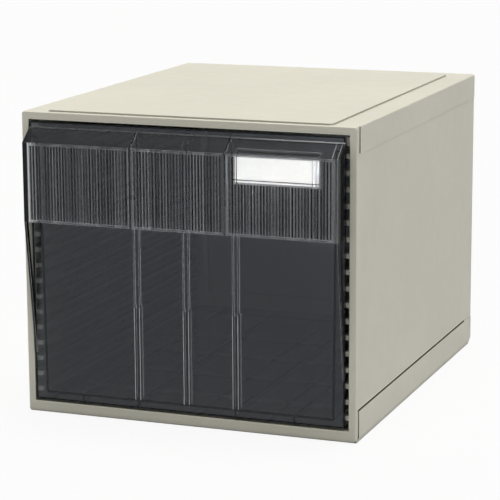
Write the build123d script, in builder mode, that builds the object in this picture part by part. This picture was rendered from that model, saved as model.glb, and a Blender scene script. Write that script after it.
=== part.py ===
from build123d import *

import os
from math import atan2, cos, degrees, tan

os.makedirs("parts", exist_ok=True)

# Stackable drawer unit: a moulded case of six snapped panels with one deep smoke drawer.
# Millimetres, +Z up. The drawer opens towards -Y. The origin is under the middle of the bounding box.
# "Depth" is measured back from the plane of the case's front face, and is negative in front of it.

# Case, outside
CASE_W = 340.0
CASE_D = 420.0
CASE_H = 300.0
WALL = 2.5
CORNER_R = 4.0
EDGE_R = 1.5
SEAM = 0.2

# Front frame
FRAME_T = 3.0
FRAME_LIFT = 1.0
FRAME_CORNER_R = 2.5
FRAME_EDGE_R = 0.8
COLLAR_T = 1.5
COLLAR_D = 6.5
STILE_W = 7.0
TOP_RAIL_H = 7.5
SILL_TOP = 11.5
FLANGE_T = 2.0
FLANGE_D = 3.0
GROOVE_DEEP = 1.0
LEDGE_D = 8.0
LEDGE_INSET = 8.0
CLIP_H = 6.0
CLIP_D = 9.0
CLIP_ROWS = (3.5, 8.5, 13.5)

# Top cover and base tray
TOP_SKIRT = 25.0
BASE_SKIRT = 29.0
CORNER_GROOVE = 5.0
PLATEAU_H = 2.0
PLATEAU_SIDE = 25.5
PLATEAU_FRONT = 2.5
PLATEAU_BACK = 26.0
PLATEAU_R = 3.0
PLATEAU_EDGE_R = 0.6
STACK_CLEARANCE = 0.75
STACK_HEADROOM = 0.5
BACK_CHAMFER_H = 7.0
BACK_CHAMFER_D = 14.0
RIB_T = 1.6
RIB_H = 4.0
RIB_ROWS = 4
RIB_COLUMNS = 3
RIB_LEDGE_GAP = 8.0

# Side panels and their rails
PANEL_INSET = 0.4
TONGUE_LAP = 13.0
TONGUE_END = 16.0
RETURN_W = 20.0
BASE_SEAM = 2.0
BASE_SEAM_START = 8.0
BASE_SEAM_END = 31.0
RAIL_PITCH = 15.6
RAIL_FIRST_Z = 22.3
RAIL_H = 5.0
RAIL_DRAFT = 0.3
RAIL_REACH = 6.0
RAIL_START = 7.0
RAIL_LEAD_IN = 1.5
BACK_GAP = 6.0

# Drawer stops
STOP_SETBACK = 3.0
STOP_L = 6.0
STOP_D = 4.0
HELD_D = 90.0
STOP_GAP = 0.5

# Back panel
BACK_PAN_MARGIN = 3.0
BACK_PAN_DEPTH = 2.2
BACK_PAN_R = 8.0
BACK_SIDE_GAP = 0.6
BACK_LIFT = 9.0

# Drawer
DRAWER_WALL = 2.2
SIDE_PLAY = 1.5
FRONT_SIDE_GAP = 3.0
FRONT_TOP_GAP = 2.0
FRONT_BOTTOM_GAP = 2.5
FRONT_INSET = 0.5
BIN_SIDE_GAP = 4.5
BIN_TAPER = 2.5
BIN_OVERRUN = 9.0
BIN_CORNER_R = 12.0
BIN_BACK_GAP = 11.0
RUNNER_H = 6.0
RUNNER_T = 2.0
RUNNER_X = (-110.0, -50.0, 50.0, 110.0)
RIM_T = 2.5
RIM_SIDE_GAP = 2.1
RUN_GAP = 0.3
EAR_GAP = 0.9
SLOT_X = (-51.0, 0.0, 51.0)
SLOT_W = 4.4
SLOT_RIB_T = 1.2
SLOT_RIB_D = 2.5
SLOT_FOOT_T = 1.8
SLOT_FOOT_D = 4.0
SLOT_FOOT_TOP = 116.0

# Hood pull
HOOD_OUT = 16.5
LIP_H = 5.0
FACET_DROP = 13.3
STRIP_H = 77.5
CHEEK_FOOT_Z = 60.0
CHEEK_GAP = 2.5
REED_MARGIN = 4.0
BAY_SHARE = 0.3
BAY_GROOVE_W = 1.8
BAY_GROOVE_D = 1.0
WEB_T = 2.0
WEB_DROP = 50.0
REED_PITCH = 3.1
REED_D = 0.9
REED_CROWN = ((0.0, 0.0), (0.17, 0.12), (0.33, 0.48), (0.43, 1.0))
REED_BORDER = 2.5

# Label holder and card
LABEL_END_GAP = 14.5
LABEL_W = 84.0
LABEL_H = 26.0
LABEL_PROUD = 3.0
LABEL_WALL = 0.9
LABEL_HOOK = 6.0
PAD_MARGIN = 1.0
CARD_T = 0.5
CARD_GAP = 0.3
CARD_TAIL = 1.0

# Places worked out from the sizes above
REACH = HOOD_OUT + LABEL_PROUD
FRONT_Y = -(CASE_D + REACH) / 2 + REACH
HALF_W = CASE_W / 2
OPEN_HALF = HALF_W - STILE_W
OPEN_TOP = CASE_H - TOP_RAIL_H
COLLAR_HALF = OPEN_HALF + COLLAR_T
SKIRT_LOW = CASE_H - TOP_SKIRT
FLANGE_BACK = FRAME_T + FLANGE_D
SKIRT_START = FLANGE_BACK + CORNER_GROOVE
PLATEAU_W = CASE_W - 2 * PLATEAU_SIDE
PLATEAU_NEAR = FRAME_T + PLATEAU_FRONT
PLATEAU_FAR = CASE_D - PLATEAU_BACK
RECESS_H = PLATEAU_H + STACK_HEADROOM
RIB_END = LEDGE_D + RIB_LEDGE_GAP
PANEL_OUT = HALF_W - PANEL_INSET
PANEL_IN = PANEL_OUT - WALL
TONGUE_OUT = HALF_W - WALL - SEAM
TONGUE_IN = TONGUE_OUT - WALL
RAIL_TIP = OPEN_HALF - RAIL_REACH
RAIL_COUNT = int((OPEN_TOP - RAIL_FIRST_Z) / RAIL_PITCH) + 1
RAIL_TOP_Z = RAIL_FIRST_Z + (RAIL_COUNT - 1) * RAIL_PITCH
BACK_OUT = CASE_D - PANEL_INSET - WALL - SEAM
BACK_IN = BACK_OUT - WALL
RAIL_END = BACK_IN - BACK_GAP
CHANNEL_LOW = RAIL_TOP_Z - RAIL_PITCH + RAIL_H / 2
CHANNEL_HIGH = RAIL_TOP_Z - RAIL_H / 2
RIM_LOW = CHANNEL_LOW + RUN_GAP
RIM_HIGH = RIM_LOW + RIM_T
RIM_HALF = OPEN_HALF - RIM_SIDE_GAP
RIM_BACK = BACK_IN - STOP_GAP
STOP_FRONT = RAIL_START + STOP_SETBACK
STOP_BACK = STOP_FRONT + STOP_L
TRAVEL = CASE_D - HELD_D
EAR_FRONT = STOP_BACK + TRAVEL + STOP_GAP
FRONT_HALF = OPEN_HALF - FRONT_SIDE_GAP
FRONT_TOP = OPEN_TOP - FRONT_TOP_GAP
FRONT_BOTTOM = SILL_TOP + FRONT_BOTTOM_GAP
FRONT_BACK = FRONT_INSET + DRAWER_WALL
FLOOR_LOW = FRONT_BOTTOM + RUNNER_H
BIN_HALF_TOP = RAIL_TIP - BIN_SIDE_GAP
BIN_HALF_BOTTOM = BIN_HALF_TOP - BIN_TAPER
BIN_BACK = BACK_IN - BIN_BACK_GAP
FACET_TOP = FRONT_TOP - LIP_H
STRIP_TOP = FACET_TOP - FACET_DROP
STRIP_LOW = STRIP_TOP - STRIP_H
CHEEK_HALF = OPEN_HALF - CHEEK_GAP
REED_HALF = CHEEK_HALF - REED_MARGIN
BAY_HALF = BAY_SHARE * CHEEK_HALF
LABEL_X = REED_HALF - LABEL_END_GAP - LABEL_W / 2
FACET_ANGLE = atan2(FACET_DROP, HOOD_OUT + FRONT_INSET)
POCKET_T = LABEL_PROUD - 2 * LABEL_WALL


def behind(depth):
    return FRONT_Y + depth


def upright(depth):
    """Sketch plane parallel to the front face; a negative extrusion goes back into the case."""
    return Plane.XZ.offset(-behind(depth))


def facet_z(depth, below=0.0):
    """Height of the hood's sloping facet, or of a line at a distance square below it."""
    slope = tan(FACET_ANGLE)
    return FACET_TOP - (FRONT_INSET - depth) * slope - below / cos(FACET_ANGLE)


def block(x0, x1, d0, d1, z0, z1, mode=Mode.ADD):
    """Adds or cuts a straight block in the part being built, given by its limits in X, depth and Z."""
    with Locations(((x0 + x1) / 2, behind((d0 + d1) / 2), (z0 + z1) / 2)):
        Box(x1 - x0, d1 - d0, z1 - z0, mode=mode)


# Front frame: a face ring with a collar round the opening, side flanges stepped where the corner grooves
# run, ledges that carry the top and base, and side clips
with BuildPart() as front_frame:
    with BuildSketch(upright(0)):
        with Locations((0, (CASE_H + FRAME_LIFT) / 2)):
            RectangleRounded(CASE_W, CASE_H - FRAME_LIFT, FRAME_CORNER_R)
        with Locations((0, (OPEN_TOP + SILL_TOP) / 2)):
            Rectangle(2 * OPEN_HALF, OPEN_TOP - SILL_TOP, mode=Mode.SUBTRACT)
    extrude(amount=-FRAME_T)
    fillet(front_frame.faces().sort_by(Axis.Y)[0].edges(), radius=FRAME_EDGE_R)
    with BuildSketch(upright(FRAME_T / 2)):
        with Locations((0, (OPEN_TOP + SILL_TOP) / 2)):
            Rectangle(2 * COLLAR_HALF, OPEN_TOP - SILL_TOP + 2 * COLLAR_T)
            Rectangle(2 * OPEN_HALF, OPEN_TOP - SILL_TOP, mode=Mode.SUBTRACT)
    extrude(amount=-(COLLAR_D - FRAME_T / 2))
    for side in (-1, 1):
        inner = side * (HALF_W - FLANGE_T)
        flange = sorted((inner, side * HALF_W))
        step = sorted((inner, side * (HALF_W - GROOVE_DEEP)))
        block(*flange, FRAME_T / 2, FLANGE_BACK, WALL + SEAM, CASE_H - WALL - SEAM)
        for low, high in ((WALL + SEAM, BASE_SKIRT - SEAM), (SKIRT_LOW + SEAM, CASE_H - WALL - SEAM)):
            block(*step, FRAME_T / 2, SKIRT_START - SEAM, low, high)
        clip_root = sorted((inner, side * (PANEL_IN - SEAM - WALL)))
        clip_tip = sorted((side * (PANEL_IN - SEAM), side * (PANEL_IN - SEAM - WALL)))
        for row in CLIP_ROWS:
            z = RAIL_FIRST_Z + row * RAIL_PITCH
            block(*clip_root, FRAME_T / 2, FLANGE_BACK - SEAM, z - CLIP_H / 2, z + CLIP_H / 2)
            block(*clip_tip, FRAME_T / 2, FRAME_T + CLIP_D, z - CLIP_H / 2, z + CLIP_H / 2)
    ledge_half = OPEN_HALF - LEDGE_INSET
    ledge_top = CASE_H - WALL - SEAM
    ledge_low = RECESS_H + WALL + SEAM
    block(-ledge_half, ledge_half, FRAME_T / 2, FRAME_T + LEDGE_D, ledge_top - WALL, ledge_top)
    block(-ledge_half, ledge_half, FRAME_T / 2, FRAME_T + LEDGE_D, ledge_low, ledge_low + WALL)

# Top cover: a shallow lid with a skirt on three sides and a raised stacking plateau
with BuildPart() as top_cover:
    with BuildSketch(Plane.XY.offset(SKIRT_LOW)) as lid_plan:
        with Locations((0, behind((FRAME_T + CASE_D) / 2))):
            Rectangle(CASE_W, CASE_D - FRAME_T)
        fillet(lid_plan.vertices().group_by(Axis.Y)[-1], radius=CORNER_R)
    extrude(amount=TOP_SKIRT)
    rim = top_cover.faces().sort_by(Axis.Z)[-1].edges().sort_by(Axis.Y)[1:]
    fillet(rim, radius=EDGE_R)
    offset(amount=-WALL, openings=top_cover.faces().sort_by(Axis.Z)[0])
    block(-HALF_W, HALF_W, FRAME_T, SKIRT_START, SKIRT_LOW, CASE_H - WALL, mode=Mode.SUBTRACT)
    for side in (-1, 1):
        notch = sorted((side * (HALF_W - GROOVE_DEEP), side * HALF_W))
        block(*notch, FLANGE_BACK, SKIRT_START, SKIRT_LOW, CASE_H, mode=Mode.SUBTRACT)
    with BuildSketch(Plane.XY.offset(CASE_H - WALL)):
        with Locations((0, behind((PLATEAU_NEAR + PLATEAU_FAR) / 2))):
            RectangleRounded(PLATEAU_W, PLATEAU_FAR - PLATEAU_NEAR, PLATEAU_R)
    extrude(amount=WALL + PLATEAU_H)
    fillet(top_cover.faces().sort_by(Axis.Z)[-1].edges(), radius=PLATEAU_EDGE_R)
    with BuildSketch(Plane.XY.offset(CASE_H - WALL)):
        with Locations((0, behind((PLATEAU_NEAR + PLATEAU_FAR) / 2))):
            Rectangle(PLATEAU_W - 2 * WALL, PLATEAU_FAR - PLATEAU_NEAR - 2 * WALL)
    extrude(amount=PLATEAU_H, mode=Mode.SUBTRACT)
    with BuildSketch(Plane.XY.offset(CASE_H - WALL - RIB_H)):
        with Locations((0, behind((PLATEAU_NEAR + PLATEAU_FAR) / 2))):
            with GridLocations(0, (PLATEAU_FAR - PLATEAU_NEAR) / (RIB_ROWS + 1), 1, RIB_ROWS):
                Rectangle(PLATEAU_W - WALL, RIB_T)
            with GridLocations(PLATEAU_W / (RIB_COLUMNS + 1), 0, RIB_COLUMNS, 1):
                Rectangle(RIB_T, PLATEAU_FAR - PLATEAU_NEAR - 2 * RIB_END)
    extrude(amount=RIB_H + PLATEAU_H + SEAM)

# Base tray: floor and skirt, with a recess underneath that drops over the plateau of a unit below
with BuildPart() as base_tray:
    with BuildSketch(Plane.YZ.offset(-HALF_W)):
        Polygon(
            (behind(FRAME_T), 0),
            (behind(CASE_D - BACK_CHAMFER_D), 0),
            (behind(CASE_D), BACK_CHAMFER_H),
            (behind(CASE_D), BASE_SKIRT),
            (behind(FRAME_T), BASE_SKIRT),
            align=None,
        )
    extrude(amount=CASE_W)
    fillet(base_tray.edges().filter_by(Axis.Z).group_by(Axis.Y)[-1], radius=CORNER_R)
    offset(amount=-WALL, openings=base_tray.faces().sort_by(Axis.Z)[-1])
    block(-HALF_W, HALF_W, FRAME_T, SKIRT_START, WALL, BASE_SKIRT, mode=Mode.SUBTRACT)
    recess_half = PLATEAU_W / 2 + STACK_CLEARANCE
    recess_near = PLATEAU_NEAR - STACK_CLEARANCE
    recess_far = PLATEAU_FAR + STACK_CLEARANCE
    block(-recess_half - WALL, recess_half + WALL, FRAME_T, recess_far + WALL, 0, RECESS_H + WALL)
    block(-recess_half, recess_half, recess_near, recess_far, 0, RECESS_H, mode=Mode.SUBTRACT)
    with BuildSketch(Plane.XY.offset(RECESS_H)):
        with Locations((0, behind((PLATEAU_NEAR + PLATEAU_FAR) / 2))):
            with GridLocations(0, (PLATEAU_FAR - PLATEAU_NEAR) / (RIB_ROWS + 1), 1, RIB_ROWS):
                Rectangle(PLATEAU_W, RIB_T)
            with GridLocations(PLATEAU_W / (RIB_COLUMNS + 1), 0, RIB_COLUMNS, 1):
                Rectangle(RIB_T, PLATEAU_FAR - PLATEAU_NEAR - 2 * RIB_END)
    extrude(amount=WALL + RIB_H)

# Right side panel: wall, tongues behind the skirts, rear return, drawer rails and the drawer stop
with BuildPart() as right_side_panel:
    block(PANEL_IN, PANEL_OUT, FLANGE_BACK, CASE_D - PANEL_INSET, BASE_SKIRT, SKIRT_LOW)
    return_near = CASE_D - PANEL_INSET - WALL
    block(PANEL_OUT - RETURN_W, PANEL_OUT, return_near, CASE_D - PANEL_INSET, BASE_SKIRT, SKIRT_LOW)
    rear_edge = right_side_panel.edges().filter_by(Axis.Z).sort_by(
        lambda e: e.center().X + e.center().Y
    )[-1]
    fillet(rear_edge, radius=CORNER_R - PANEL_INSET)
    tongue_far = CASE_D - TONGUE_END
    block(TONGUE_IN, TONGUE_OUT, FLANGE_BACK, tongue_far, SKIRT_LOW - TONGUE_LAP, CASE_H - WALL - SEAM)
    block(TONGUE_IN, TONGUE_OUT, FLANGE_BACK, tongue_far, WALL + SEAM, BASE_SKIRT + TONGUE_LAP)
    seam_far = CASE_D - BASE_SEAM_END
    block(TONGUE_OUT, PANEL_OUT, BASE_SEAM_START, seam_far, BASE_SKIRT, BASE_SKIRT + BASE_SEAM,
          mode=Mode.SUBTRACT)
    with BuildSketch(upright(RAIL_START)):
        with Locations((0, (RAIL_FIRST_Z + RAIL_TOP_Z) / 2)):
            with GridLocations(0, RAIL_PITCH, 1, RAIL_COUNT):
                Polygon(
                    (RAIL_TIP, RAIL_H / 2 - RAIL_DRAFT),
                    (TONGUE_OUT, RAIL_H / 2),
                    (TONGUE_OUT, -RAIL_H / 2),
                    (RAIL_TIP, -RAIL_H / 2 + RAIL_DRAFT),
                    align=None,
                )
    extrude(amount=-(RAIL_END - RAIL_START))
    rail_tips = right_side_panel.edges().filter_by(Axis.Z).filter_by_position(
        Axis.X, RAIL_TIP - SEAM, RAIL_TIP + SEAM
    )
    rail_noses = rail_tips.group_by(Axis.Y)[0]
    chamfer(rail_noses, length=RAIL_LEAD_IN)
    stop_low = CHANNEL_HIGH - STOP_D
    block(RAIL_TIP, TONGUE_OUT, STOP_FRONT, STOP_BACK, stop_low, CHANNEL_HIGH + RAIL_H / 2)

# Left side panel: the same moulding, handed
with BuildPart() as left_side_panel:
    add(mirror(right_side_panel.part, about=Plane.YZ))

# Back panel: a plate behind the side returns, pressed outward into a shallow pan
with BuildPart() as back_panel:
    back_half = PANEL_IN - BACK_SIDE_GAP
    block(-back_half, back_half, BACK_IN, BACK_OUT, BACK_LIFT, CASE_H - WALL - SEAM)
    pan_half = PANEL_OUT - RETURN_W - BACK_PAN_MARGIN
    pan_low = BASE_SKIRT + BACK_PAN_MARGIN
    pan_high = SKIRT_LOW - BACK_PAN_MARGIN
    pan_out = BACK_OUT + BACK_PAN_DEPTH
    block(-pan_half, pan_half, BACK_OUT, pan_out, pan_low, pan_high)
    pan_corners = back_panel.edges().filter_by(Axis.Y).filter_by(
        lambda e: e.center().Y > behind(BACK_OUT)
    )
    fillet(pan_corners, radius=BACK_PAN_R)
    fillet(back_panel.faces().sort_by(Axis.Y)[-1].edges(), radius=BACK_PAN_DEPTH / 2)
    block(
        -pan_half + WALL, pan_half - WALL, BACK_IN, BACK_IN + BACK_PAN_DEPTH,
        pan_low + WALL, pan_high - WALL, mode=Mode.SUBTRACT,
    )


# Drawer: drafted bin, front wall, sliding rim with stop ears, runners, slot ribs and the hood pull
with BuildPart() as drawer:
    bin_h = RIM_HIGH - FLOOR_LOW
    draft = atan2(BIN_HALF_TOP - BIN_HALF_BOTTOM, bin_h)
    bin_rear = BIN_BACK - bin_h * tan(draft)
    with BuildSketch(Plane.XY.offset(FLOOR_LOW)) as bin_plan:
        with Locations((0, behind((bin_rear - BIN_OVERRUN) / 2))):
            Rectangle(2 * BIN_HALF_BOTTOM, bin_rear + BIN_OVERRUN)
        fillet(bin_plan.vertices().group_by(Axis.Y)[-1], radius=BIN_CORNER_R)
    extrude(amount=bin_h, taper=-degrees(draft))
    fillet(drawer.faces().sort_by(Axis.Z)[0].edges().sort_by(Axis.Y)[1:], radius=DRAWER_WALL)
    with BuildSketch(Plane.XY.offset(FLOOR_LOW + DRAWER_WALL)) as cavity_plan:
        with Locations((0, behind((bin_rear - BIN_OVERRUN) / 2))):
            Rectangle(2 * (BIN_HALF_BOTTOM - DRAWER_WALL), bin_rear + BIN_OVERRUN - 2 * DRAWER_WALL)
        fillet(cavity_plan.vertices().group_by(Axis.Y)[-1], radius=BIN_CORNER_R - DRAWER_WALL)
    extrude(amount=bin_h, taper=-degrees(draft), mode=Mode.SUBTRACT)
    block(-HALF_W, HALF_W, -2 * BIN_OVERRUN, FRONT_INSET, 0, CASE_H, mode=Mode.SUBTRACT)

    # front wall, which covers the rail noses
    block(-FRONT_HALF, FRONT_HALF, FRONT_INSET, FRONT_BACK, FRONT_BOTTOM, FRONT_TOP)

    # runners under the floor
    for x in RUNNER_X:
        block(x - RUNNER_T / 2, x + RUNNER_T / 2, FRONT_INSET, bin_rear - BIN_CORNER_R,
              FRONT_BOTTOM, FLOOR_LOW + DRAWER_WALL / 2)

    # rim that slides on the second rail from the top, with an ear at the rear of each side
    with BuildSketch(Plane.XY.offset(RIM_LOW)) as rim_plan:
        with Locations((0, behind((FRONT_BACK + RIM_BACK) / 2))):
            Rectangle(2 * RIM_HALF, RIM_BACK - FRONT_BACK)
        fillet(rim_plan.vertices().group_by(Axis.Y)[-1], radius=BIN_CORNER_R)
        with BuildSketch(mode=Mode.SUBTRACT) as rim_hole:
            mouth_half = BIN_HALF_TOP - DRAWER_WALL / 2
            mouth_back = BIN_BACK - DRAWER_WALL / 2
            with Locations((0, behind((FRONT_BACK + mouth_back) / 2))):
                Rectangle(2 * mouth_half, mouth_back - FRONT_BACK)
            fillet(rim_hole.vertices().group_by(Axis.Y)[-1], radius=BIN_CORNER_R)
    extrude(amount=RIM_T)
    for side in (-1, 1):
        ear = sorted((side * BIN_HALF_TOP, side * RIM_HALF))
        block(*ear, EAR_FRONT, EAR_FRONT + STOP_L, RIM_HIGH, CHANNEL_HIGH - EAR_GAP)

    # divider slots: pairs of ribs on the front wall, wider in their lower part
    for x in SLOT_X:
        for side in (-1, 1):
            rib = sorted((x + side * SLOT_W / 2, x + side * (SLOT_W / 2 + SLOT_RIB_T)))
            foot = sorted((x + side * SLOT_W / 2, x + side * (SLOT_W / 2 + SLOT_FOOT_T)))
            block(*rib, FRONT_BACK, FRONT_BACK + SLOT_RIB_D, SLOT_FOOT_TOP, RIM_HIGH)
            block(*foot, FRONT_BACK, FRONT_BACK + SLOT_FOOT_D, FLOOR_LOW + DRAWER_WALL / 2, SLOT_FOOT_TOP)

    # hood pull: cheeks, hollow hood with two inner webs, bay grooves and reeding
    with BuildSketch(Plane.YZ.offset(-CHEEK_HALF)):
        Polygon(
            (behind(FRONT_BACK), FACET_TOP),
            (behind(FRONT_INSET), FACET_TOP),
            (behind(-HOOD_OUT), STRIP_TOP),
            (behind(-HOOD_OUT), STRIP_LOW),
            (behind(FRONT_INSET), CHEEK_FOOT_Z),
            (behind(FRONT_BACK), CHEEK_FOOT_Z),
            align=None,
        )
    extrude(amount=2 * CHEEK_HALF)
    inner_half = CHEEK_HALF - DRAWER_WALL
    bays = [(-inner_half, -BAY_HALF - WEB_T / 2), (-BAY_HALF + WEB_T / 2, BAY_HALF - WEB_T / 2),
            (BAY_HALF + WEB_T / 2, inner_half)]
    for x0, x1 in bays:
        with BuildSketch(Plane.YZ.offset(x0)):
            nose = -HOOD_OUT + DRAWER_WALL
            Polygon(
                (behind(FRONT_INSET), facet_z(FRONT_INSET, DRAWER_WALL)),
                (behind(nose), facet_z(nose, DRAWER_WALL)),
                (behind(nose), CHEEK_FOOT_Z),
                (behind(FRONT_INSET), CHEEK_FOOT_Z),
                align=None,
            )
        extrude(amount=x1 - x0, mode=Mode.SUBTRACT)
    block(-inner_half, inner_half, -HOOD_OUT - REED_D, FRONT_INSET, 0, STRIP_LOW, mode=Mode.SUBTRACT)
    block(-inner_half, inner_half, -HOOD_OUT + DRAWER_WALL, FRONT_INSET, 0, STRIP_TOP - WEB_DROP,
          mode=Mode.SUBTRACT)
    reed_low = STRIP_LOW + REED_BORDER
    reed_high = STRIP_TOP - REED_BORDER
    falling = [(along * REED_PITCH, deep * REED_D) for along, deep in REED_CROWN]
    rising = [(REED_PITCH - along, deep) for along, deep in reversed(falling)]
    valley = [(along - REED_PITCH / 2, deep) for along, deep in falling + rising]
    for x0, x1 in ((-REED_HALF, -BAY_HALF), (-BAY_HALF, BAY_HALF), (BAY_HALF, REED_HALF)):
        valleys = int((x1 - x0 - 2 * BAY_GROOVE_W) / REED_PITCH)
        with BuildSketch(Plane.XY.offset(reed_low)):
            with Locations(((x0 + x1) / 2, behind(-HOOD_OUT))):
                with GridLocations(REED_PITCH, 0, valleys, 1):
                    Polygon(*valley, align=None)
        extrude(amount=reed_high - reed_low, mode=Mode.SUBTRACT)
    for x in (-BAY_HALF, BAY_HALF):
        with BuildSketch(Plane.YZ.offset(x - BAY_GROOVE_W / 2)):
            deep = -HOOD_OUT + BAY_GROOVE_D
            Polygon(
                (behind(FRONT_INSET), facet_z(FRONT_INSET, BAY_GROOVE_D)),
                (behind(FRONT_INSET), FACET_TOP),
                (behind(-HOOD_OUT), STRIP_TOP),
                (behind(-HOOD_OUT), STRIP_LOW),
                (behind(deep), STRIP_LOW),
                (behind(deep), facet_z(deep, BAY_GROOVE_D)),
                align=None,
            )
        extrude(amount=BAY_GROOVE_W, mode=Mode.SUBTRACT)

    # flat pad behind the label holder, flush with the tops of the reeds
    block(
        LABEL_X - LABEL_W / 2 - PAD_MARGIN, LABEL_X + LABEL_W / 2 + PAD_MARGIN,
        -HOOD_OUT, -HOOD_OUT + DRAWER_WALL / 2, STRIP_TOP - LABEL_H - 2 * PAD_MARGIN, reed_high,
    )

# Label holder: clear pocket on the strip, closed at the left, open at the right, hooked over the facet
with BuildPart() as label_holder:
    label_high = STRIP_TOP - PAD_MARGIN
    label_low = label_high - LABEL_H
    label_left = LABEL_X - LABEL_W / 2
    label_right = LABEL_X + LABEL_W / 2
    label_front = -HOOD_OUT - LABEL_PROUD
    block(label_left, label_right, label_front, -HOOD_OUT, label_low, label_high)
    fillet(label_holder.edges().filter_by(Axis.Y), radius=LABEL_WALL)
    block(label_left + LABEL_WALL, label_right, label_front + LABEL_WALL, -HOOD_OUT - LABEL_WALL,
          label_low + LABEL_WALL, label_high - LABEL_WALL, mode=Mode.SUBTRACT)
    with BuildSketch(Plane.YZ.offset(label_left + LABEL_WALL)):
        hook_far = -HOOD_OUT + LABEL_HOOK * cos(FACET_ANGLE)
        Polygon(
            (behind(-HOOD_OUT), label_high - LABEL_WALL),
            (behind(-HOOD_OUT), STRIP_TOP),
            (behind(hook_far), facet_z(hook_far)),
            (behind(hook_far), facet_z(hook_far, -LABEL_WALL)),
            (behind(-HOOD_OUT - LABEL_WALL), facet_z(-HOOD_OUT, -LABEL_WALL)),
            (behind(-HOOD_OUT - LABEL_WALL), label_high - LABEL_WALL),
            align=None,
        )
    extrude(amount=LABEL_W - 2 * LABEL_WALL)

# Label card: bare white card that slides out of the pocket's open end
with BuildPart() as label_card:
    card_front = label_front + LABEL_WALL + (POCKET_T - CARD_T) / 2
    block(label_left + LABEL_WALL + CARD_GAP, label_right - CARD_TAIL, card_front, card_front + CARD_T,
          label_low + LABEL_WALL + CARD_GAP, label_high - LABEL_WALL - CARD_GAP)

# The drawer and its label rest to the left, as far as the drawer's side play goes
for piece in (drawer, label_holder, label_card):
    piece.part = piece.part.translate((-SIDE_PLAY, 0, 0), transform=True)

pieces = {
    "front_frame": front_frame,
    "top_cover": top_cover,
    "base_tray": base_tray,
    "left_side_panel": left_side_panel,
    "right_side_panel": right_side_panel,
    "back_panel": back_panel,
    "drawer": drawer,
    "label_holder": label_holder,
    "label_card": label_card,
}
for name, piece in pieces.items():
    piece.part.label = name
    export_step(piece.part, f"parts/{name}.step")
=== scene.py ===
from math import cos, radians, sin

import bpy
from mathutils import Matrix, Vector


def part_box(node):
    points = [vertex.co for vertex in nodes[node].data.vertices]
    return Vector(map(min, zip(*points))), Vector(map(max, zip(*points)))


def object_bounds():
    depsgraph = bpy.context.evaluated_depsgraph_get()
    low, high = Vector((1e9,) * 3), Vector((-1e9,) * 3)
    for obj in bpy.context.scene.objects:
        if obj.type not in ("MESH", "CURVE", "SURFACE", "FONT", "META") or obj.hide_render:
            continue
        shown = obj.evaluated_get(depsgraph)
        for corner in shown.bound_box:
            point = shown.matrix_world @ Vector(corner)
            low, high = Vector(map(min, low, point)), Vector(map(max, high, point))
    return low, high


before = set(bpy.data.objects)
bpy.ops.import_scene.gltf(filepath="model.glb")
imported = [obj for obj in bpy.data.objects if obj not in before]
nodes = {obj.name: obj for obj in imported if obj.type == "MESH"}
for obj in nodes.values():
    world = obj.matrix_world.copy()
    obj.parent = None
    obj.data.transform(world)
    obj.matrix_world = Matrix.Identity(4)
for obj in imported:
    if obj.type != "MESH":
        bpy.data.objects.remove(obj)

# Stackable drawer unit, dressed over its CAD frame. Metres; the drawer opens towards -Y.
cad_low, cad_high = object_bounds()

# Places on the drawer and its label, from the frame
drawer_low, drawer_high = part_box("drawer")
label_low, label_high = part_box("label_holder")
card_low, card_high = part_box("label_card")
case_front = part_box("front_frame")[0].y
wall_front = case_front + 0.0005
hood_front = drawer_low.y
drawer_x = (drawer_low.x + drawer_high.x) / 2

# Places on the drawer that its box doesn't give, the same as in the CAD source
FRONT_HALF = 0.160
DRAWER_FLOOR = 0.0222
CHEEK_FOOT = 0.060
STRIP_LOW, STRIP_HIGH = 0.1947, 0.2722
FACET_TOP = 0.2855
HOOD_HALF = 0.1605
BAY_HALF = 0.04815
cheek_slope = (wall_front - hood_front) / (STRIP_LOW - CHEEK_FOOT)
facet_slope = (wall_front - hood_front) / (FACET_TOP - STRIP_HIGH)
hood_end = drawer_x - HOOD_HALF
webs = (drawer_x - BAY_HALF, drawer_x + BAY_HALF)

# Places of the painted shade and painted highlights on the drawer's front, as the photograph shows them
RIM = 0.0012
CHEEK_OUT = 0.1603
CREST = 0.2850
RIB_LINE_FROM_SLOT = 0.0027
WIDE_FEET_TOP = 0.1135
slots = (drawer_x - 0.0506, drawer_x + 0.0004, drawer_x + 0.0510)
facet_end_highlights = (drawer_x + 0.1525, drawer_x + 0.1580)

# The rails' front noses inside the case, which are kept free of the painted shade
RAILS_OUT = 0.1655
NOSES_FADE = 0.06
noses_back = wall_front + 0.02

# Colours
CASE = (0.68, 0.66, 0.56)
SMOKE_SKIN = (0.94, 0.95, 0.965)
SMOKE_GLOSS = (0.87, 0.92, 1.0)
SMOKE = (0.55, 0.57, 0.595)
SHADE_DARK = (0.02, 0.02, 0.022)
CLEAR = (0.9, 0.9, 0.94)
LILAC = (0.35, 0.35, 0.62)
DARK_LINE = (0.04, 0.04, 0.05)
CARD, CARD_SHADE, CARD_LIGHT = (0.93, 0.93, 0.92), (0.91, 0.91, 0.90), (0.96, 0.96, 0.95)

# Optics, how far the painted corner highlights and the painted shade reach, and the soft borders of masks
SMOKE_IOR, CLEAR_IOR = 1.41, 1.5
SMOKE_DENSITY = 330.0
CASE_HIGHLIGHT_REACH, SMOKE_HIGHLIGHT_REACH, CLEAR_HIGHLIGHT_REACH = 0.0009, 0.0006, 0.0004
SHADE_REACH = 0.008
CRISP, FINE, SOFT = 0.0001, 0.0002, 0.0005


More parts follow.
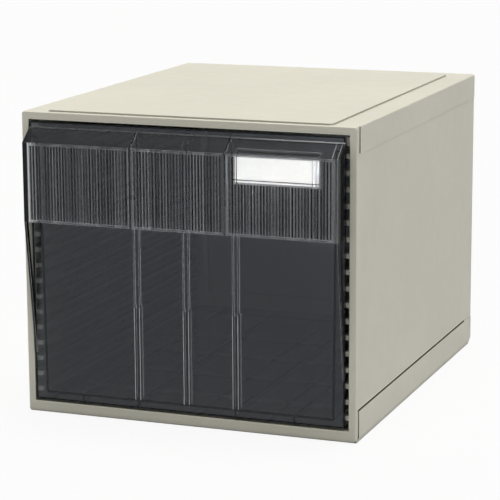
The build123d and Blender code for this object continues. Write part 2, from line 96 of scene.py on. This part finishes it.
class Shader:
    """A Principled material whose detail comes from procedural nodes in object space."""

    def __init__(self, name, colour, roughness, **sockets):
        self.material = bpy.data.materials.new(name)
        self.material.use_nodes = True
        self.tree = self.material.node_tree
        self.bsdf = self.tree.nodes["Principled BSDF"]
        self.put("Base Color", (*colour, 1))
        self.put("Roughness", roughness)
        for socket, value in sockets.items():
            self.put(socket.replace("_", " "), value)
        self.coordinates = self.tree.nodes.new("ShaderNodeTexCoord").outputs["Object"]

    def put(self, socket, value):
        self.bsdf.inputs[socket].default_value = value

    def link(self, source, socket):
        self.tree.links.new(source, self.bsdf.inputs[socket])

    def node(self, kind, links=(), **values):
        made = self.tree.nodes.new(kind)
        for key, value in values.items():
            setattr(made, key, value)
        for socket, source in dict(links).items():
            if isinstance(source, bpy.types.NodeSocket):
                self.tree.links.new(source, made.inputs[socket])
            else:
                made.inputs[socket].default_value = source
        return made

    def stretched(self, scale):
        return self.node("ShaderNodeMapping", {"Vector": self.coordinates, "Scale": scale}).outputs["Vector"]

    def noise(self, scale, detail=3.0, vector=None):
        links = {"Vector": vector or self.coordinates, "Scale": scale, "Detail": detail}
        return self.node("ShaderNodeTexNoise", links).outputs["Fac"]

    def remap(self, source, low, high, from_low=0.3, from_high=0.7):
        """The source's range, by default a noise's, stretched to low and high and held there outside."""
        links = {"Value": source, "From Min": from_low, "From Max": from_high, "To Min": low, "To Max": high}
        return self.node("ShaderNodeMapRange", links).outputs["Result"]

    def blend(self, factor, first, second):
        mix = self.node("ShaderNodeMix", data_type="RGBA")
        self.tree.links.new(factor, mix.inputs["Factor"])
        for socket, value in ((mix.inputs[6], first), (mix.inputs[7], second)):
            if isinstance(value, bpy.types.NodeSocket):
                self.tree.links.new(value, socket)
            else:
                socket.default_value = (*value, 1)
        return mix.outputs[2]

    def math(self, operation, *values):
        """The values joined one after the other by one operation."""
        result = values[0]
        for value in values[1:]:
            result = self.node("ShaderNodeMath", {0: result, 1: value}, operation=operation).outputs[0]
        return result

    def times(self, *values):
        return self.math("MULTIPLY", *values)

    def most(self, *values):
        return self.math("MAXIMUM", *values)

    def total(self, *values):
        return self.math("ADD", *values)

    def less(self, first, second):
        return self.math("SUBTRACT", first, second)

    def above(self, value, limit):
        return self.math("GREATER_THAN", value, limit)

    def below(self, value, limit):
        return self.math("LESS_THAN", value, limit)

    def size(self, value):
        return self.math("ABSOLUTE", value, 0.0)

    def place(self):
        split = self.node("ShaderNodeSeparateXYZ", {"Vector": self.coordinates})
        return split.outputs["X"], split.outputs["Y"], split.outputs["Z"]

    def band(self, value, low, high, soft):
        """1 where the value lies from low to high, fading out over a soft border outside."""
        rise = self.remap(value, 0.0, 1.0, low - soft, low)
        fall = self.remap(value, 1.0, 0.0, high, high + soft)
        return self.times(rise, fall)

    def sharp_edges(self, radius):
        """About 1 on the corners of the form and 0 on its faces."""
        flat = self.node("ShaderNodeNewGeometry").outputs["Normal"]
        round_off = self.node("ShaderNodeBevel", {"Radius": radius}, samples=4).outputs["Normal"]
        agree = self.node("ShaderNodeVectorMath", {0: flat, 1: round_off}, operation="DOT_PRODUCT")
        return self.remap(agree.outputs["Value"], 1.0, 0.0, 0.80, 0.99)

    def bump(self, height, strength, distance, below=None):
        links = {"Height": height, "Strength": strength, "Distance": distance}
        if below is not None:
            links["Normal"] = below
        return self.node("ShaderNodeBump", links).outputs["Normal"]


def shade(colour, share):
    return [channel * share for channel in colour]


# Case

def case_plastic(name, shade_left, noses_unshaded):
    """Satin moulded polystyrene: fine grain, faint flow marks, corners painted pale as a highlight, painted
    shade in seams and gaps.

    Where the painted shade is deepest, shade_left of the colour shows. With noses_unshaded 1 the painted
    shade keeps off the front noses of the rails inside the case.
    """
    made = Shader(name, CASE, 0.5, Specular_IOR_Level=0.4)
    flow = made.remap(made.noise(9.0, 4.0), 0.0, 1.0)
    tone = made.blend(flow, shade(CASE, 0.97), shade(CASE, 1.02))
    # painted highlight: the corners are made paler
    case_edge_highlight = made.blend(made.sharp_edges(CASE_HIGHLIGHT_REACH), tone, shade(CASE, 1.4))
    # painted shade: darker where ambient occlusion finds seams and gaps
    openness = made.node("ShaderNodeAmbientOcclusion", {"Distance": SHADE_REACH}, samples=6).outputs["AO"]
    x, y, _ = made.place()
    at_front = made.remap(y, 1.0, 0.0, noses_back, noses_back + NOSES_FADE)
    noses = made.times(made.below(made.size(x), RAILS_OUT), at_front, noses_unshaded)
    unshaded = made.most(made.remap(openness, 0.0, 1.0, 0.3, 0.8), noses)
    made.link(made.blend(unshaded, shade(CASE, shade_left), case_edge_highlight), "Base Color")
    made.link(made.remap(made.noise(60.0, 5.0), 0.42, 0.58), "Roughness")
    grain = made.bump(made.noise(2600.0, 2.0), 0.12, 0.0004)
    made.link(made.bump(made.noise(16.0, 2.0), 0.05, 0.002, grain), "Normal")
    return made.material


# Drawer

class DrawerFront(Shader):
    """The drawer's material, with masks for the painted shade and painted highlights on its front.

    The hood is the pull's reeded strip with the sloping facet above it and a cheek at each end.
    """

    def __init__(self, name, colour, roughness, **sockets):
        super().__init__(name, colour, roughness, **sockets)
        self.x, self.y, self.z = self.place()
        self.half = self.size(self.less(self.x, drawer_x))
        self.on_wall = self.band(self.y, wall_front - CRISP, wall_front + CRISP, CRISP)

        # the strip's height, and the skin at its very front
        self.on_strip = self.band(self.z, STRIP_LOW, STRIP_HIGH, SOFT)
        foremost = self.band(self.y, hood_front - 0.0001, hood_front + 0.00012, 0.00008)
        self.on_crowns = self.times(self.on_strip, foremost)

        # how far back from the outside of strip and facet a point lies, and the skin there
        slope = self.times(self.most(self.less(self.z, STRIP_HIGH), 0.0), facet_slope)
        self.behind_hood = self.less(self.less(self.y, hood_front), slope)
        self.at_hood_height = self.above(self.z, STRIP_LOW)
        self.on_hood = self.times(self.band(self.behind_hood, -0.0005, 0.0004, CRISP), self.at_hood_height)

        # how far aside of each pair of slot ribs a point lies, and the front wall before their wide feet
        self.off_slots = [self.size(self.less(self.x, slot)) for slot in slots]
        self.on_feet = self.times(self.band(self.z, DRAWER_FLOOR, WIDE_FEET_TOP, 0.0003), self.on_wall)

        # brightness that changes from reed to reed
        self.streaks = self.noise(420.0, 1.0, self.stretched((1.0, 0.0, 0.0)))

    def reed_valley_shade(self):
        """Painted shade in the valleys between the reeds, darker in some than in others."""
        valleys = self.times(self.band(self.y, hood_front + 0.0003, hood_front + 0.0011, FINE), self.on_strip)
        return self.times(valleys, self.remap(self.streaks, 0.35, 1.0, 0.35, 0.6))

    def cheek_shade(self):
        """Painted shade in a band down the front edge of each cheek, which runs out to nothing at the wall
        below the strip.
        """
        back_off = self.times(self.most(self.less(STRIP_LOW, self.z), 0.0), cheek_slope)
        depth = self.less(self.less(self.y, back_off), hood_front)
        width = self.remap(self.z, 0.006, 0.0135, STRIP_LOW - 0.001, STRIP_LOW)
        return self.times(self.above(self.half, CHEEK_OUT), self.below(depth, width))

    def rim_shade(self):
        """A painted shade line round the edge of the front wall."""
        sides = self.above(self.half, FRONT_HALF - RIM)
        top = self.above(self.z, drawer_high.z - RIM)
        bottom = self.below(self.z, drawer_low.z + RIM)
        return self.times(self.most(sides, top, bottom), self.on_wall)

    def end_shade(self):
        """Painted shade as a dark border at the left end of the strip."""
        return self.times(self.band(self.x, hood_end, hood_end + 0.0046, FINE), self.on_crowns)

    def web_shade(self):
        """Painted shade as dark lines in the grooves between the hood's bays."""
        lines = self.total(*(self.band(self.x, web - 0.0012, web + 0.0002, CRISP) for web in webs))
        return self.times(lines, self.on_hood)

    def slot_shade(self):
        """Painted shade as dark stripes between the wide feet of each pair of slot ribs."""
        between = self.total(*(self.band(off, -1.0, RIB_LINE_FROM_SLOT - 0.0006, FINE) for off in self.off_slots))
        return self.times(self.on_feet, between, 0.8)

    def rib_highlights(self):
        """Painted highlight lines in the front wall where the slot ribs stand behind it, fainter above their
        feet.
        """
        near, far = RIB_LINE_FROM_SLOT - 0.0003, RIB_LINE_FROM_SLOT + 0.0003
        lines = self.total(*(self.band(off, near, far, FINE) for off in self.off_slots))
        narrow = self.times(self.band(self.z, WIDE_FEET_TOP, STRIP_LOW + 0.003, 0.0003), self.on_wall)
        return self.times(lines, self.total(self.times(self.on_feet, 0.55), self.times(narrow, 0.2)))

    def reed_highlights(self):
        """Painted highlights on the crowns of the reeds, uneven along the strip and strongest at its left
        end.
        """
        drift = self.noise(75.0, 1.0, self.stretched((1.0, 0.0, 0.0)))
        uneven = self.times(self.streaks, self.remap(drift, 1.25, 0.75))
        crown_highlight = self.remap(uneven, 0.26, 0.01, 0.3, 0.6)
        left = self.remap(self.x, 2.5, 1.0, hood_end + 0.008, hood_end + 0.015)
        return self.times(self.on_crowns, crown_highlight, left)

    def end_highlights(self):
        """Two painted highlight lines near the left end of the strip, where the hood pipes light."""
        first = self.band(self.x, hood_end + 0.0054, hood_end + 0.0066, FINE)
        second = self.band(self.x, hood_end + 0.0086, hood_end + 0.0096, FINE)
        return self.times(self.total(first, self.times(second, 0.7)), self.on_crowns, 0.85)

    def web_highlights(self):
        """A painted highlight line beside each groove between the bays, strongest on the facet."""
        lines = self.total(*(self.band(self.x, web + 0.0003, web + 0.0008, CRISP) for web in webs))
        return self.times(lines, self.on_hood, self.remap(self.z, 0.08, 0.3, STRIP_HIGH - SOFT, STRIP_HIGH))

    def facet_highlights(self):
        """Painted highlight lines along the facet's upper edge, towards the right, and beside its right
        cheek.
        """
        crest = self.band(self.z, CREST - 0.0004, CREST + 0.0004, FINE)
        lines = self.times(crest, self.remap(self.x, 0.1, 0.4, 0.04, 0.10))
        on_facet = self.above(self.z, STRIP_HIGH)
        for start in facet_end_highlights:
            line = self.band(self.x, start, start + 0.0005, CRISP)
            lines = self.most(lines, self.times(line, on_facet, 0.35))
        return self.times(lines, self.on_hood)

    def facet_haze(self):
        """A faint bloom on the whole facet."""
        return self.times(self.on_hood, self.remap(self.z, 0.0, 0.018, STRIP_HIGH, STRIP_HIGH + SOFT))

    def corner_highlights(self):
        """Painted highlights on the corners on the outside of the front. Those inside the hood and the drawer
        stay clear.
        """
        in_hood = self.times(self.band(self.behind_hood, 0.0010, 0.03, FINE), self.at_hood_height)
        inside = self.most(in_hood, self.band(self.y, wall_front + 0.0006, 1.0, FINE))
        return self.times(self.sharp_edges(SMOKE_HIGHLIGHT_REACH), self.remap(inside, 0.75, 0.0, 0.0, 1.0))


def smoke_plastic():
    """Polished smoke polystyrene: clear skin over an absorbing body, so a wall seen edge-on goes black."""
    made = DrawerFront("smoke_plastic", SMOKE_SKIN, 0.03, IOR=SMOKE_IOR, Transmission_Weight=1.0)
    made.put("Specular Tint", (*SMOKE_GLOSS, 1))
    rubs = made.noise(70.0, 6.0, made.stretched((1.0, 1.0, 0.25)))
    made.link(made.remap(rubs, 0.01, 0.05, 0.45, 0.75), "Roughness")

    # painted shade: dark lines at the cheeks, the wall's rim, the strip's left end and the webs, in the reed
    # valleys and between the slot ribs
    opaque = made.most(made.cheek_shade(), made.rim_shade(), made.end_shade(), made.web_shade())
    painted_dark = made.most(made.reed_valley_shade(), opaque, made.slot_shade())
    made.link(made.blend(painted_dark, SMOKE_SKIN, SHADE_DARK), "Base Color")
    made.link(made.remap(painted_dark, 0.5, 0.1, 0.0, 1.0), "Specular IOR Level")

    # painted highlights turn the smoke pale: on corners, reed crowns, the strip's end, the slot ribs, the
    # webs and the facet, with the facet's faint bloom
    pale = made.most(made.corner_highlights(), made.reed_highlights(), made.end_highlights(), made.rib_highlights(),
                     made.web_highlights(), made.facet_highlights(), made.facet_haze())
    made.link(made.less(1.0, made.most(pale, opaque)), "Transmission Weight")

    body = made.node("ShaderNodeVolumeAbsorption", {"Color": (*SMOKE, 1), "Density": SMOKE_DENSITY})
    made.tree.links.new(body.outputs["Volume"], made.tree.nodes["Material Output"].inputs["Volume"])
    return made.material


# Label holder and card

def clear_plastic():
    """Clear polystyrene: all but unseen on its faces, with painted highlights in white along its corners,
    fainter on the hooked plate.

    Inside its frame it has a dark line at the left and along the bottom, and two lilac lines at the open end.
    """
    made = Shader("clear_plastic", CLEAR, 0.04, IOR=CLEAR_IOR)
    scuffs = made.noise(160.0, 5.0)
    made.link(made.remap(scuffs, 0.03, 0.12, 0.4, 0.75), "Roughness")
    x, y, z = made.place()
    in_front = made.band(y, label_low.y - 0.001, label_low.y + 0.0002, CRISP)
    left = made.band(x, label_low.x + 0.0026, label_low.x + 0.0034, CRISP)
    bottom = made.band(z, label_low.z + 0.0032, label_low.z + 0.0040, CRISP)
    line = made.times(made.most(left, bottom), in_front)
    first = made.band(x, label_high.x - 0.0072, label_high.x - 0.0062, 0.0004)
    second = made.band(x, label_high.x - 0.0036, label_high.x - 0.0026, 0.0004)
    tint = made.times(made.most(first, second), in_front, 0.4)
    made.link(made.blend(line, made.blend(tint, CLEAR, LILAC), DARK_LINE), "Base Color")
    up_to_plate = (STRIP_HIGH - 0.001, STRIP_HIGH)
    # painted highlights: the corners turn white, fainter on the hooked plate
    clear_corner_highlights = made.times(made.sharp_edges(CLEAR_HIGHLIGHT_REACH), made.remap(z, 0.85, 0.5, *up_to_plate))
    faces = made.remap(z, 0.02, 0.003, *up_to_plate)
    made.link(made.most(clear_corner_highlights, tint, made.times(line, 0.85), faces), "Alpha")
    return made.material


def card():
    made = Shader("card", CARD, 0.7)
    fibre = made.noise(900.0, 6.0)
    made.link(made.blend(made.remap(fibre, 0.0, 1.0), CARD_SHADE, CARD_LIGHT), "Base Color")
    made.link(made.bump(fibre, 0.15, 0.0002), "Normal")
    return made.material


# The looks on the pieces, with their moulded corners

ROUNDING = {"case": 0.0004, "panel": 0.0004, "smoke": 0.00035, "clear": 0.0002}
WELD_GAP = 0.00002
PIECES = {
    "case": ("front_frame", "top_cover", "base_tray"),
    "panel": ("left_side_panel", "right_side_panel", "back_panel"),
    "smoke": ("drawer",),
    "clear": ("label_holder",),
    "card": ("label_card",),
}
looks = {
    "case": case_plastic("case_plastic", 0.12, 0.0),
    "panel": case_plastic("panel_plastic", 0.4, 1.0),
    "smoke": smoke_plastic(),
    "clear": clear_plastic(),
    "card": card(),
}


def round_corners(piece, width):
    seam = piece.modifiers.new("weld", "WELD")
    seam.merge_threshold = WELD_GAP
    soft = piece.modifiers.new("bevel", "BEVEL")
    soft.width = width
    soft.segments = 2
    soft.limit_method = "ANGLE"
    soft.angle_limit = radians(35)
    soft.harden_normals = True


for look, names in PIECES.items():
    for name in names:
        for held in nodes[name].material_slots:
            held.material = looks[look]
        if look in ROUNDING:
            round_corners(nodes[name], ROUNDING[look])


# Floor

FLOOR_SIZE = 40.0
FLOOR_GAP = 0.0005


def flat_square(name, size, z):
    half = size / 2
    corners = [(-half, -half, z), (half, -half, z), (half, half, z), (-half, half, z)]
    mesh = bpy.data.meshes.new(name)
    mesh.from_pydata(corners, [], [(0, 1, 2, 3)])
    plane = bpy.data.objects.new(name, mesh)
    bpy.context.scene.collection.objects.link(plane)
    return plane


def floor_paper():
    """Pale paper that looks nearly white, also in reflections and through plastic, and keeps its shadow."""
    paper = Shader("floor_paper", (0.5, 0.5, 0.5), 0.9, Specular_IOR_Level=0.1)
    path = paper.node("ShaderNodeLightPath").outputs
    seen = paper.most(path["Is Camera Ray"], path["Is Glossy Ray"], path["Is Transmission Ray"])
    glow = paper.node("ShaderNodeEmission", {"Strength": 1.03}).outputs["Emission"]
    matt = paper.bsdf.outputs["BSDF"]
    look = paper.node("ShaderNodeMixShader", {0: paper.times(seen, 0.88), 1: matt, 2: glow})
    paper.tree.links.new(look.outputs["Shader"], paper.tree.nodes["Material Output"].inputs["Surface"])
    return paper.material


floor = flat_square("floor", FLOOR_SIZE, -FLOOR_GAP)
floor.data.materials.append(floor_paper())


# Light

SKY_HEIGHTS = ((0.06, 1.0), (0.25, 0.38), (1.0, 0.22))
SKY_ALONG_Y = {"From Min": -1.0, "From Max": 0.3, "To Min": 0.8, "To Max": 1.0}


def studio_world():
    """A white horizon that falls off upwards, and a little dimmer on the side that the drawer faces."""
    world = bpy.data.worlds.new("studio")
    world.use_nodes = True
    tree = world.node_tree
    background = tree.nodes["Background"]
    sky = tree.nodes.new("ShaderNodeTexCoord")
    towards = tree.nodes.new("ShaderNodeSeparateXYZ")
    tree.links.new(sky.outputs["Generated"], towards.inputs["Vector"])
    level = tree.nodes.new("ShaderNodeValToRGB")
    ramp = level.color_ramp.elements
    ramp.new(SKY_HEIGHTS[1][0])
    for stop, (height, grey) in zip(ramp, SKY_HEIGHTS):
        stop.position = height
        stop.color = (grey, grey, grey, 1)
    tree.links.new(towards.outputs["Z"], level.inputs["Fac"])
    tree.links.new(level.outputs["Color"], background.inputs["Color"])
    dim = tree.nodes.new("ShaderNodeMapRange")
    for socket, value in SKY_ALONG_Y.items():
        dim.inputs[socket].default_value = value
    tree.links.new(towards.outputs["Y"], dim.inputs["Value"])
    tree.links.new(dim.outputs["Result"], background.inputs["Strength"])
    return world


def soft_box(name, place, aim, width, height, power):
    lamp = bpy.data.lights.new(name, "AREA")
    lamp.shape = "RECTANGLE"
    lamp.size = width
    lamp.size_y = height
    lamp.energy = power
    stand = bpy.data.objects.new(name, lamp)
    stand.location = place
    stand.visible_camera = False
    stand.rotation_euler = (Vector(aim) - Vector(place)).to_track_quat("-Z", "Y").to_euler()
    bpy.context.scene.collection.objects.link(stand)
    return lamp


def sun(name, towards, strength, spread, colour):
    lamp = bpy.data.lights.new(name, "SUN")
    lamp.energy = strength
    lamp.angle = radians(spread)
    lamp.color = colour
    stand = bpy.data.objects.new(name, lamp)
    stand.rotation_euler = Vector(towards).to_track_quat("Z", "Y").to_euler()
    bpy.context.scene.collection.objects.link(stand)


bpy.context.scene.world = studio_world()
sun("overhead", towards=(0.10, 0.05, 0.994), strength=2.8, spread=36, colour=(1.0, 0.99, 0.965))
soft_box("front_top", place=(-0.9, -2.0, 1.9), aim=(0, 0, 0.15), width=0.9, height=0.5, power=3.5)
card_middle = (card_low + card_high) / 2
beam_place = card_middle + Vector((0.08, -0.40, 0.30))
beam = soft_box("label_beam", place=beam_place, aim=card_middle, width=0.10, height=0.042, power=0.0082)
beam.spread = radians(3)


# Camera, solved from the corners of the case in the photograph

AZIMUTH, ELEVATION, ROLL = 20.81, 11.77, -0.31
FOCAL_LENGTH_PX = 2111
IMAGE_PX = 500
SENSOR = 36
DISTANCE = 2.202
SHIFT_RIGHT, SHIFT_UP = -0.0136, -0.0163
CASE_MIDDLE_Z = 0.150


def photo_camera():
    azimuth, elevation, roll = radians(AZIMUTH), radians(ELEVATION), radians(ROLL)
    case_middle = Vector((0, (case_front + cad_high.y) / 2, CASE_MIDDLE_Z))
    back = Vector((sin(azimuth) * cos(elevation), -cos(azimuth) * cos(elevation), sin(elevation)))
    level_right = Vector((cos(azimuth), sin(azimuth), 0))
    level_up = back.cross(level_right)
    right = cos(roll) * level_right + sin(roll) * level_up
    up = -sin(roll) * level_right + cos(roll) * level_up
    lens = bpy.data.cameras.new("camera")
    lens.sensor_width = SENSOR
    lens.lens = FOCAL_LENGTH_PX / IMAGE_PX * SENSOR
    lens.clip_end = 50
    camera = bpy.data.objects.new("camera", lens)
    place = case_middle + back * DISTANCE + right * SHIFT_RIGHT + up * SHIFT_UP
    camera.matrix_world = Matrix.Translation(place) @ Matrix((right, up, back)).transposed().to_4x4()
    return camera


camera = photo_camera()
scene = bpy.context.scene
scene.collection.objects.link(camera)
scene.camera = camera
scene.view_settings.view_transform = "Standard"
